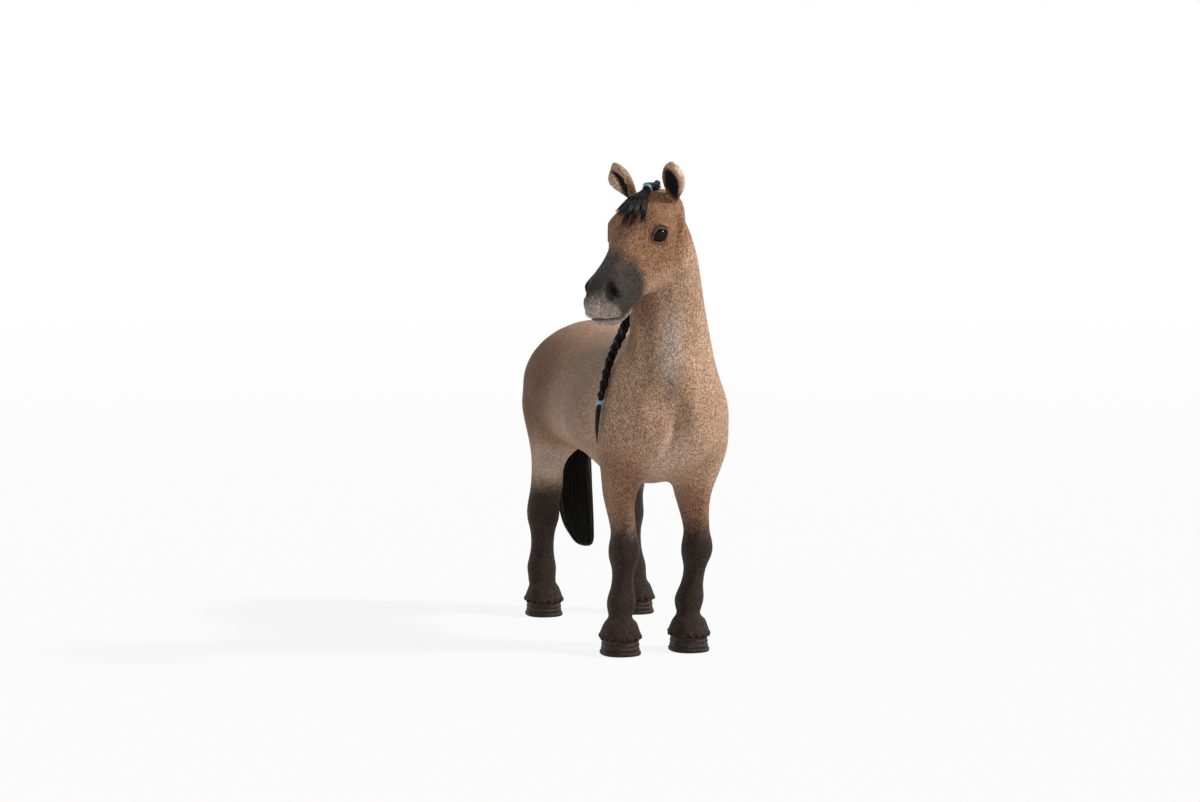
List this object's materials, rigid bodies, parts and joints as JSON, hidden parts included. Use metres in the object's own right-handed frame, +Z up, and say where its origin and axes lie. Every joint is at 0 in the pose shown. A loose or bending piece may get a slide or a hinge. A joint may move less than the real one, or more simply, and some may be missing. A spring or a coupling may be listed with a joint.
{
  "type": "toy horse figure",
  "caption": "Realistic moulded toy horse standing square, head turned to its right, with a plaited mane, tied forelock and hanging tail.",
  "frame": {"origin": "on the ground plane, under the middle of the figure's bounding box", "axes": "+Z up, -Y the way the horse's body faces, +X its left side; the head is turned towards -X"},
  "size_m": [0.043, 0.1052, 0.1086],
  "materials": {
    "coat": "matt painted plastic with a fine short-hair relief, tan shading to grey and brown",
    "points": "matt painted plastic, tan fading to dark brown lower down",
    "hair": "black painted plastic with moulded strands, slight sheen",
    "tie": "pale blue painted plastic"
  },
  "bodies": {
    "root": {"trunk": "coat", "head_and_neck": "coat", "foreleg_right": "points", "foreleg_left": "points", "hindleg_right": "points", "hindleg_left": "points", "tail": "hair", "mane_plait": "hair", "forelock": "hair", "plait_tie": "tie", "forelock_tie": "tie"}
  },
  "joints": []
}
